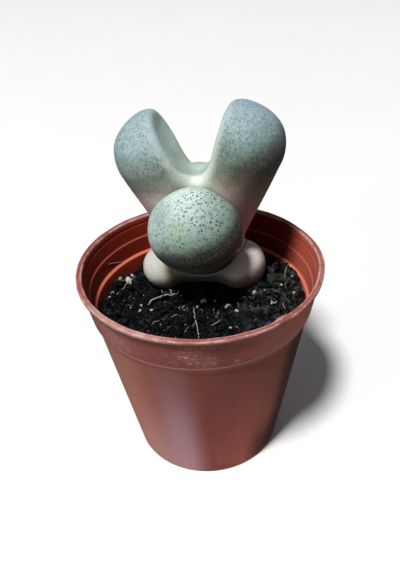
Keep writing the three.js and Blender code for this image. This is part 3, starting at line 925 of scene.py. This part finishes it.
def wall_colour(shader, cloud, x, y, height):
    """The tapered wall: clouded brown, fine upright streaks, painted light and shade, painted reflection."""
    wall = shader.mix(cloud, (126, 60, 52), (142, 73, 62))
    streak = shader.noise(2.4, 3.0, 0.55, place=shader.stretched(z=0.05))
    wall = shader.mix(shader.span(streak, 0.35, 0.75, 0.0, 0.2), wall, (150, 92, 84))
    # Painted light and shade by the way the wall faces.
    wall = tinted(shader, wall, WALL_LIGHT_AND_SHADE)
    # Painted shade low on the right of the wall.
    low_right_shade = shader.times(
        shader.span(shader.facing(LOW_RIGHT_SHADE), 0.83, 0.98), shader.span(height, 20.0, 5.0, 0.0, 0.8)
    )
    wall = shader.mix(low_right_shade, wall, (70, 26, 20))
    # A soft purplish painted reflection down the wall's front, and a fainter one lower down to its left.
    across = shader.calc("ADD", shader.times(x, REFLECTION_ACROSS[0]), shader.times(y, REFLECTION_ACROSS[1]))
    painted_reflection = shader.times(
        shader.span(shader.calc("ABSOLUTE", across), 6.6, 0.5),
        shader.span(y, -8.0, -14.0),
        shader.span(height, 41.5, 15.0, 0.3, 0.85),
    )
    wall = shader.mix(painted_reflection, wall, (170, 128, 135))
    low_painted_reflection = shader.times(
        shader.span(across, -16.0, -6.0),
        shader.span(across, 4.0, -2.0),
        shader.span(y, -4.0, -9.0),
        shader.span(height, 28.0, 8.0, 0.0, 0.6),
    )
    wall = shader.mix(low_painted_reflection, wall, (168, 124, 128))
    step = POT["step_height"]
    # Painted light just under the collar's step, where its shadow falls.
    return shader.mix(shader.span(height, step - 2.4, step - 0.4, 0.0, 0.7), wall, (196, 116, 102))


def collar_colour(shader, cloud, height):
    collar = shader.mix(cloud, (140, 70, 62), (152, 80, 71))
    # Painted light and shade by the way the collar faces.
    collar = tinted(shader, collar, COLLAR_LIGHT_AND_SHADE)
    step = POT["step_height"]
    # A painted highlight along the collar's bottom edge.
    return shader.mix(shader.span(height, step + 0.7, step + 0.35, 0.0, 0.75), collar, (214, 150, 138))


def inside_colour(shader, cloud, height):
    """Redder than the outside, with painted light on its upward ledges and on the wall that faces the light.
    """
    inside = shader.mix(cloud, (118, 35, 22), (134, 42, 28))
    # Painted light on the inside wall at the right, which faces the light.
    inside = tinted(shader, inside, INSIDE_PAINTED_LIGHT)
    top = POT["height"]
    # Painted light on the ledges, which face up.
    lit_ledges = shader.times(
        shader.span(shader.facing((0, 0, 1)), 0.2, 0.5),
        shader.span(height, top - 2.4, top - 3.0, 0.1, 1.0),
        shader.span(height, top - 5.4, top - 7.5, 0.45, 1.0),
    )
    return shader.mix(lit_ledges, inside, (216, 118, 98))


def with_scuffs(shader, plastic, height, inner):
    """Lime and dust: fine specks in a few scuffed places, and thinly all round the collar."""
    speck = shader.noise(0.42, 3.0, 0.7)
    scratch = shader.noise(0.5, 3.0, 0.65, place=shader.stretched(x=0.35, z=0.6))
    scuffed = shader.times(
        shader.span(shader.noise(7.0, 2.0), 0.5, 0.75, 0.0, 0.5), shader.span(height, 36, 43, 0.15, 1.0)
    )
    for centre, reach in SCUFFS:
        scuffed = shader.calc("MAXIMUM", scuffed, shader.near(centre, reach * 0.3, reach))
    scuffed = shader.times(scuffed, shader.span(inner, 0.0, 1.0, 1.0, 0.0))
    marks = shader.calc("MAXIMUM", shader.span(speck, 0.57, 0.66), shader.span(scratch, 0.57, 0.65))
    plastic = shader.mix(shader.times(marks, scuffed, 0.75), plastic, (226, 190, 180))
    return shader.mix(shader.times(scuffed, 0.18), plastic, (190, 138, 130))


def with_lip_highlights(shader, plastic, height, out, on_lip, worn):
    """The lip: pink painted highlights on top and at both edges. out is the distance from the pot's axis."""
    # A pink painted highlight on the lip's top, uneven with wear.
    pink = shader.times(on_lip, shader.span(worn, 0.0, 1.0, 0.35, 0.85))
    plastic = shader.mix(pink, plastic, (160, 100, 93))
    # Stronger at the front left, where the light falls.
    front_left = shader.span(shader.around(FRONT_LEFT), 0.75, 0.95)
    front_left_highlight = shader.times(front_left, on_lip, shader.span(worn, 0.0, 1.0, 0.5, 0.95))
    plastic = shader.mix(front_left_highlight, plastic, (206, 160, 154))
    top, rim = POT["height"], POT["rim_radius"]
    # Painted highlights along the lip's outer and inner edges.
    outer = shader.times(shader.span(height, top - 0.55, top - 0.2), shader.span(out, rim - 0.35, rim - 0.1))
    inner = shader.times(shader.span(height, top - 0.5, top - 0.2), shader.span(out, rim - 0.8, rim - 1.0))
    edges = shader.times(shader.calc("MAXIMUM", outer, inner), shader.span(worn, 0.0, 1.0, 0.15, 0.7))
    plastic = shader.mix(edges, plastic, (216, 184, 178))
    # Painted glints on the lip.
    lip_glints = shader.times(on_lip, shader.span(shader.noise(0.5, 2.0, 0.7), 0.60, 0.68, 0.0, 0.45))
    return shader.mix(lip_glints, plastic, (236, 216, 212))


def pot_material():
    """Thin moulded plastic: redder inside, scuffed outside, with painted light and shade,
    a painted reflection on the wall and painted highlights along the rim's edges.
    """
    shader = Shader("terracotta_plastic")
    x, y, height = (shader.axis(n) for n in range(3))
    out = shader.calc("SQRT", shader.calc("ADD", shader.times(x, x), shader.times(y, y)))
    cloud = shader.span(shader.noise(14.0, 3.0, 0.5, place=shader.stretched(z=0.5)), 0.3, 0.7)
    on_collar = shader.span(height, POT["step_height"] - 0.1, POT["step_height"] + 0.2)
    wall, collar = wall_colour(shader, cloud, x, y, height), collar_colour(shader, cloud, height)
    outside = shader.mix(on_collar, wall, collar)
    # Inside and outside part in the middle of the thin wall.
    taper = (POT["body_top_radius"] - POT["base_radius"]) / POT["step_height"]
    middle = shader.calc("ADD", shader.times(height, taper), POT["base_radius"] - POT["wall"] / 2)
    middle = shader.calc("ADD", middle, shader.times(on_collar, 0.45))
    inner = shader.span(shader.calc("SUBTRACT", middle, out), -0.1, 0.15)
    plastic = shader.mix(inner, outside, inside_colour(shader, cloud, height))
    plastic = with_scuffs(shader, plastic, height, inner)
    # Where the lip's painted highlights lie: on its top, strongest at the left and weakest at the back left.
    on_lip = shader.times(
        shader.span(height, POT["height"] - 1.0, POT["height"] - 0.7),
        shader.span(out, POT["rim_radius"] - 1.5, POT["rim_radius"] - 1.1),
        shader.span(x, -27.0, -16.0, 0.15, 1.0),
        shader.span(shader.around(BACK_LEFT), 0.5, 0.9, 1.0, 0.3),
    )
    worn = shader.span(shader.noise(3.0, 3.0, 0.6), 0.34, 0.66)
    shader.set(
        base_color=with_lip_highlights(shader, plastic, height, out, on_lip, worn),
        roughness=shader.span(shader.noise(3.0, 4.0, 0.6), 0.25, 0.75, 0.42, 0.56),
        specular_ior_level=0.15,
        subsurface_weight=0.05,
        subsurface_radius=(1.0, 0.35, 0.2),
        subsurface_scale=0.0015,
        normal=shader.bump(shader.noise(0.5, 2.0), 0.008, shader.bump(shader.times(on_lip, worn), 0.12)),
    )
    return shader.material


def seeded_draws(seed):
    """The same small random source as the solid's own, so the lumps fall in the same places."""
    state = seed
    while True:
        state = (state * 1664525 + 1013904223) % 4294967296
        yield state / 4294967296


def soil_lumps():
    draw = seeded_draws(SOIL_SEED)
    lumps = []
    for _ in range(SOIL_LUMPS):
        radius = 22.5 * math.sqrt(next(draw))
        angle = 2 * math.pi * next(draw)
        size = 1.4 + 1.6 * next(draw)
        lumps.append((radius * math.cos(angle), radius * math.sin(angle), size, 0.75 * next(draw)))
    return lumps


# The solid's own lumps, and the swells that only the looks have.
SOIL_RISES = (*soil_lumps(), *SOIL_SWELLS)


def soil_height(x, y):
    """The surface's height: a gentle slope with lumps, swells and crumbs of several sizes."""
    z = SOIL_LEVEL + SOIL_SLOPE * x
    for lump_x, lump_y, size, rise in SOIL_RISES:
        z = z + rise * np.exp(-((x - lump_x) ** 2 + (y - lump_y) ** 2) / size**2)
    spot = np.stack(np.broadcast_arrays(x, y, 0.0 * x), -1)
    warped_x = x + layered_noise(spot, (1.5, 0.5, 21), (0.6, 0.2, 22))
    warped_y = y + layered_noise(spot, (1.5, 0.5, 23), (0.6, 0.2, 24))
    for size, rise, seed in SOIL_CRUMBS:
        z = z + rise * crumbs(warped_x, warped_y, size, seed)
    return z - SOIL_SINK + 0.10 * lattice_noise(spot, 0.35, 25)


def build_soil(material):
    """A disc of peat with a plain hole for the taproot, its crumbs raised by formula."""
    share = np.linspace(0, 1, SOIL_RINGS)[:, None, None] ** 0.85
    hole = circle(ROOT_HOLE, SOIL_TURNS, centre=ROOT_CENTRE)
    top = hole * (1 - share) + circle(pot_inner_radius(SOIL_LEVEL) - 0.06, SOIL_TURNS) * share
    top[..., 2] = soil_height(top[..., 0], top[..., 1])
    # The old leaves press the peat down under them.
    in_leaf = np.clip(old_distance(top), -9, 9) - 0.05
    top[..., 2] += np.minimum(0, in_leaf) * 0.9
    low, low_radius = POT["floor"] + 0.1, pot_inner_radius(POT["floor"] + 0.7) - 0.1
    tip_z, tip_radius = ROOT_TIP
    below = [circle(low_radius - 0.6, SOIL_TURNS, low), circle(low_radius, SOIL_TURNS, low + 0.6)]
    pit = circle(tip_radius, SOIL_TURNS, tip_z, ROOT_CENTRE)
    surface = mesh_object("peat_surface", *loft(np.concatenate([below, top[::-1], [pit]])))
    dress(surface, material, replaced=["soil"])


def soil_material():
    shader = Shader("dark_peat")
    cloud = shader.noise(3.2, 4.0, 0.6)
    peat = shader.mix(shader.span(cloud, 0.35, 0.68), (3, 3, 4), (12, 13, 14))
    patch = shader.span(shader.noise(5.0, 2.0), 0.38, 0.62, 0.25, 1.0)
    fleck = shader.span(shader.cells(0.45, 1.0, "Color"), 0.60, 0.78)
    peat = shader.mix(shader.times(fleck, patch), peat, (40, 46, 50))
    # Drier, dustier peat toward the right.
    to_right = shader.span(shader.axis(0), 4.0, 15.0)
    dust = shader.span(shader.noise(2.2, 3.0, 0.6), 0.45, 0.65, 0.0, 0.55)
    peat = shader.mix(shader.times(to_right, dust), peat, (82, 86, 80))
    brown = shader.span(shader.cells(0.9, 1.0, "Color"), 0.82, 0.92)
    shader.set(
        base_color=shader.mix(brown, peat, (34, 30, 25)),
        roughness=shader.span(cloud, 0.2, 0.8, 0.5, 0.8),
        specular_ior_level=0.08,
        normal=shader.bump(shader.noise(0.3, 4.0, 0.7), 0.16),
    )
    return shader.material


def grain_material():
    """Pale pumice and dry bits, some browner than others."""
    shader = Shader("pale_grain")
    pores = shader.noise(0.4, 3.0, 0.7)
    grain = shader.mix(shader.measure("tan"), (206, 203, 194), (146, 128, 104))
    grain = shader.mix(shader.span(pores, 0.52, 0.74, 0.0, 0.45), grain, (104, 90, 72))
    shader.set(base_color=grain, roughness=0.85, normal=shader.bump(pores, 0.12))
    return shader.material


def fibre_material():
    shader = Shader("dry_root_fibre")
    stripe = shader.noise(0.8, 3.0, 0.6)
    fibre = shader.mix(shader.measure("tan"), (176, 168, 156), (132, 116, 94))
    fibre = shader.mix(shader.span(stripe, 0.5, 0.75, 0.0, 0.5), fibre, (92, 76, 58))
    shader.set(base_color=fibre, roughness=0.7, normal=shader.bump(stripe, 0.03))
    return shader.material


def root_material():
    shader = Shader("woody_root")
    ring = shader.noise(1.2, 4.0, 0.6, place=shader.stretched(z=0.2))
    bark = shader.mix(shader.span(ring, 0.3, 0.7), (96, 74, 56), (142, 116, 90))
    shader.set(base_color=bark, roughness=0.85, normal=shader.bump(ring, 0.2))
    return shader.material


def drawn_place(draw, reach):
    """A place drawn evenly from the disc of this radius."""
    radius, angle = reach * math.sqrt(draw.random()), draw.random() * 2 * math.pi
    return radius * math.cos(angle), radius * math.sin(angle)


def surface_at(x, y):
    return float(soil_height(np.array([x]), np.array([y]))[0])


def leaf_gap(x, y, z):
    """How far a point is from the old leaves."""
    return float(old_distance(np.array([[x, y, z]]))[0])


def joined(parts):
    """The points and faces of many parts as one mesh's."""
    points, faces, count = [], [], 0
    for part_points, part_faces in parts:
        points.append(part_points)
        faces += [[corner + count for corner in face] for face in part_faces]
        count += len(part_points)
    return np.concatenate(points), faces


def build_crumbs(material):
    """Loose angular crumbs of peat lying on the surface."""
    draw = np.random.default_rng(41)
    sphere, triangles = icosphere_points(1)
    parts = []
    while len(parts) < PEAT_CRUMBS:
        x, y = drawn_place(draw, CRUMB_REACH)
        # Most are small and a few are large.
        size = 0.18 + 0.8 * draw.random() ** 2.5
        stretch = 0.6 + 0.8 * draw.random(3)
        turn = random_turn(draw)
        z = surface_at(x, y) + size * 0.25
        if math.hypot(x, y) + size > CRUMB_LIMIT or leaf_gap(x, y, z) < size:
            continue
        rough = 1 + 0.28 * draw.standard_normal(len(sphere))
        parts.append(((sphere * rough[:, None] * stretch * size) @ turn.T + (x, y, z), triangles))
    dress(mesh_object("peat_crumbs", *joined(parts)), material, smooth=False)


def build_grains(material):
    """Pale grains sunk in the peat: the listed ones, and smaller ones scattered all over."""
    draw = np.random.default_rng(61)
    scattered = []
    while len(scattered) < SMALL_GRAINS:
        x, y = drawn_place(draw, GRAIN_REACH)
        if leaf_gap(x, y, SOIL_LEVEL + 0.5) > 1.0:
            scattered.append((x, y, 0.09 + 0.18 * draw.random() ** 3, draw.random()))
    sphere, triangles = icosphere_points(2)
    parts, tans = [], []
    for x, y, size, tan in (*GRAINS, *scattered):
        rough = 1 + 0.22 * lattice_noise(sphere * 1.3 + (x, y, 0), 0.8, 62)
        shape = sphere * rough[:, None] * (1.15, 0.9, 0.8) * size
        place = (x, y, surface_at(x, y) + 0.4 * size)
        parts.append((shape @ random_turn(draw).T + place, triangles))
        tans += [tan] * len(sphere)
    dress(mesh_object("pale_grains", *joined(parts)), material, {"tan": tans})


def smooth_path(stops, step=0.25):
    """A curve through the stops, with points about a step apart."""
    stops = [np.array(stop, float) for stop in stops]
    stops = [2 * stops[0] - stops[1], *stops, 2 * stops[-1] - stops[-2]]
    path = []
    for before, start, end, after in zip(stops, stops[1:], stops[2:], stops[3:]):
        count = max(2, math.ceil(np.linalg.norm(end - start) / step))
        for t in np.arange(count) / count:
            path.append(
                0.5 * (2 * start + (end - before) * t + (2 * before - 5 * start + 4 * end - after) * t * t
                       + (3 * start - before - 3 * end + after) * t**3)
            )  # fmt: skip
    return np.array(path + [stops[-2]])


def tube(path, radius, sides=6):
    """A closed thin tube that tapers at both ends."""
    ahead = np.gradient(path, axis=0)
    ahead /= np.linalg.norm(ahead, axis=1)[:, None]
    across = np.cross(ahead, (0.1, 0.2, 1.0))
    across /= np.linalg.norm(across, axis=1)[:, None]
    up = np.cross(across, ahead)
    from_end = np.minimum(np.arange(len(path)), np.arange(len(path))[::-1])
    thick = radius * np.clip(0.35 + from_end * 0.22, 0, 1) * (1 + 0.18 * lattice_noise(path, 0.9, 71))
    angles = ring_angles(sides)[:, None]
    spokes = np.cos(angles) * across[:, None] + np.sin(angles) * up[:, None]
    return loft(path[:, None] + thick[:, None, None] * spokes)


def named_fibres():
    """The fibres that the photograph shows, each as its path, radius and how tan it is."""
    for radius, tan, stops in FIBRES:
        path = smooth_path([(*stop, 0.0) for stop in stops])
        path[:, :2] += 0.16 * np.stack([lattice_noise(path + shift, 0.9, 82) for shift in (0, 50)], -1)
        path[:, 2] = smoothed(soil_height(path[:, 0], path[:, 1])) + 4 * radius + 0.2
        yield path, radius, tan
    yield smooth_path(WALL_FIBRE), 0.07, 0.1


def short_fibre(draw):
    """A short fibre anywhere on the peat, one end lifted a little."""
    x, y = drawn_place(draw, FIBRE_REACH)
    heading = draw.random() * 2 * math.pi
    length, bend, tilt = 0.8 + 2.2 * draw.random() ** 2, draw.normal() * 0.8, 0.5 * draw.random() ** 3
    radius, tan = 0.035 + 0.035 * draw.random(), draw.random()
    t = np.linspace(-0.5, 0.5, 9)
    turn = heading + bend * t
    path = np.stack([x + length * t * np.cos(turn), y + length * t * np.sin(turn), 0 * t], -1)
    path[:, 2] = smoothed(soil_height(path[:, 0], path[:, 1])) + radius + tilt * (t + 0.5) * length
    return path, radius, tan


def build_fibres(material):
    """Dry root fibres on the peat: the ones the photograph shows, and short ones scattered all over."""
    draw = np.random.default_rng(81)
    fibres = list(named_fibres())
    while len(fibres) < len(FIBRES) + 1 + SHORT_FIBRES:
        path, radius, tan = short_fibre(draw)
        if np.hypot(path[:, 0], path[:, 1]).max() < FIBRE_LIMIT and old_distance(path).min() > 0.3:
            fibres.append((path, radius, tan))
    parts = [tube(path, radius) for path, radius, _ in fibres]
    tans = np.repeat([tan for _, _, tan in fibres], [len(points) for points, _ in parts])
    dress(mesh_object("root_fibres", *joined(parts)), material, {"tan": tans})


def smoothed(heights):
    """Heights under a stiff fibre: it bridges the gaps between crumbs."""
    padded = np.pad(heights, 3, mode="edge")
    windows = np.stack([padded[n : n + len(heights)] for n in range(7)])
    return 0.2 * windows.mean(0) + 0.8 * windows.max(0)


def random_turn(draw):
    q = draw.standard_normal(4)
    w, x, y, z = q / np.linalg.norm(q)
    return np.array([
        [1 - 2 * (y * y + z * z), 2 * (x * y - z * w), 2 * (x * z + y * w)],
        [2 * (x * y + z * w), 1 - 2 * (x * x + z * z), 2 * (y * z - x * w)],
        [2 * (x * z - y * w), 2 * (y * z + x * w), 1 - 2 * (x * x + y * y)],
    ])  # fmt: skip


def icosphere_points(divide):
    g = (1 + math.sqrt(5)) / 2
    points = [(-1, g, 0), (1, g, 0), (-1, -g, 0), (1, -g, 0), (0, -1, g), (0, 1, g), (0, -1, -g), (0, 1, -g),
              (g, 0, -1), (g, 0, 1), (-g, 0, -1), (-g, 0, 1)]  # fmt: skip
    faces = [(0, 11, 5), (0, 5, 1), (0, 1, 7), (0, 7, 10), (0, 10, 11), (1, 5, 9), (5, 11, 4), (11, 10, 2),
             (10, 7, 6), (7, 1, 8), (3, 9, 4), (3, 4, 2), (3, 2, 6), (3, 6, 8), (3, 8, 9), (4, 9, 5),
             (2, 4, 11), (6, 2, 10), (8, 6, 7), (9, 8, 1)]  # fmt: skip
    points = [tuple(np.array(p) / np.linalg.norm(p)) for p in points]
    for _ in range(divide):
        middle, finer = {}, []

        def halfway(a, b):
            key = (min(a, b), max(a, b))
            if key not in middle:
                centre = np.array(points[a]) + np.array(points[b])
                middle[key] = len(points)
                points.append(tuple(centre / np.linalg.norm(centre)))
            return middle[key]

        for a, b, c in faces:
            ab, bc, ca = halfway(a, b), halfway(b, c), halfway(c, a)
            finer += [(a, ab, ca), (b, bc, ab), (c, ca, bc), (ab, bc, ca)]
        faces = finer
    return np.array(points), np.array(faces)


def build_camera():
    elevation, roll = math.radians(CAMERA_ELEVATION), math.radians(CAMERA_ROLL)
    forward = Vector((0, math.cos(elevation), -math.sin(elevation)))
    level = Vector((1, 0, 0))
    upright = level.cross(forward)
    right = math.cos(roll) * level + math.sin(roll) * upright
    up = -math.sin(roll) * level + math.cos(roll) * upright
    place = (Vector(CAMERA_TARGET) - CAMERA_DISTANCE * forward) * MM
    data = bpy.data.cameras.new("photo_camera")
    data.sensor_width = SENSOR
    data.lens = FOCAL_PIXELS / PHOTO_HEIGHT * SENSOR
    data.clip_start = 0.01
    camera = bpy.data.objects.new("photo_camera", data)
    turn = Matrix((right, up, -forward)).transposed().to_4x4()
    camera.matrix_world = Matrix.Translation(place) @ turn
    bpy.context.scene.collection.objects.link(camera)
    bpy.context.scene.camera = camera


def area_light(name, direction, distance, size, power, colour):
    data = bpy.data.lights.new(name, "AREA")
    data.shape = "DISK"
    data.size = size
    data.energy = power
    data.color = colour
    lamp = bpy.data.objects.new(name, data)
    away = Vector(direction).normalized()
    lamp.location = Vector((0, 0, POT["height"] * MM)) + away * distance
    lamp.rotation_euler = away.to_track_quat("Z", "Y").to_euler()
    bpy.context.scene.collection.objects.link(lamp)


def build_studio():
    for lamp in LAMPS:
        area_light(*lamp)
    world = bpy.data.worlds.new("room")
    bpy.context.scene.world = world
    world.use_nodes = True
    tree = world.node_tree
    background = tree.nodes["Background"]
    background.inputs["Color"].default_value = ROOM_COLOUR
    # The backdrop shows pale while the room's own light stays weak.
    path = tree.nodes.new("ShaderNodeLightPath")
    strength = tree.nodes.new("ShaderNodeMapRange")
    strength.inputs["To Min"].default_value = ROOM_LIGHT
    strength.inputs["To Max"].default_value = BACKGROUND_LIGHT
    tree.links.new(path.outputs["Is Camera Ray"], strength.inputs["Value"])
    tree.links.new(strength.outputs["Result"], background.inputs["Strength"])
    bpy.context.scene.view_settings.view_transform = "Standard"
    shader = Shader("pale_floor")
    paper = shader.mix(shader.noise(60.0), (246, 246, 246), (250, 250, 250))
    shader.set(base_color=paper, roughness=0.9, specular_ior_level=0.1)
    near = floor_ring("near_floor", 0.0, NEAR_FLOOR, shader.material)
    far = floor_ring("far_floor", NEAR_FLOOR, FAR_FLOOR, shader.material)
    # Only the floor close by throws light back up at the pot, as on a table in a dim room.
    far.visible_diffuse = False
    far.visible_glossy = False
    near.visible_glossy = False


def floor_ring(name, inner, outer, material):
    """A flat ring, or a disc where inner is 0."""
    rings = np.stack([circle(outer, FLOOR_SIDES), circle(max(inner, 0.1), FLOOR_SIDES)])
    points, (*quads, _, inner_cap) = loft(rings)
    floor = mesh_object(name, points, quads if inner else [*quads, inner_cap])
    floor.data.materials.append(material)
    return floor


build_camera()
build_studio()
young_skin = leaf_material("young_skin", young_colour, young_dots, spacing=0.58, mottling=0.32, stretch=0.7)
middle_skin = leaf_material("middle_skin", middle_colour, middle_dots, spacing=0.68, mottling=0.20)
old_skin = leaf_material("old_skin", old_colour, old_dots, spacing=0.6, mottling=0.30)
build_leaf_pair("young_leaf_pair", young_distance, YOUNG_BOX, YOUNG_PAIR, young_skin, seed=3)
build_leaf_pair("middle_leaf_pair", middle_distance, MIDDLE_BOX, MIDDLE_PAIR, middle_skin, seed=4)
build_leaf_pair("old_leaf_pair", old_distance, OLD_BOX, OLD_PAIR, old_skin, seed=5)
build_pot(pot_material())
peat = soil_material()
build_soil(peat)
build_crumbs(peat)
build_grains(grain_material())
build_fibres(fibre_material())
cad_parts["taproot"].data.materials.clear()
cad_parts["taproot"].data.materials.append(root_material())
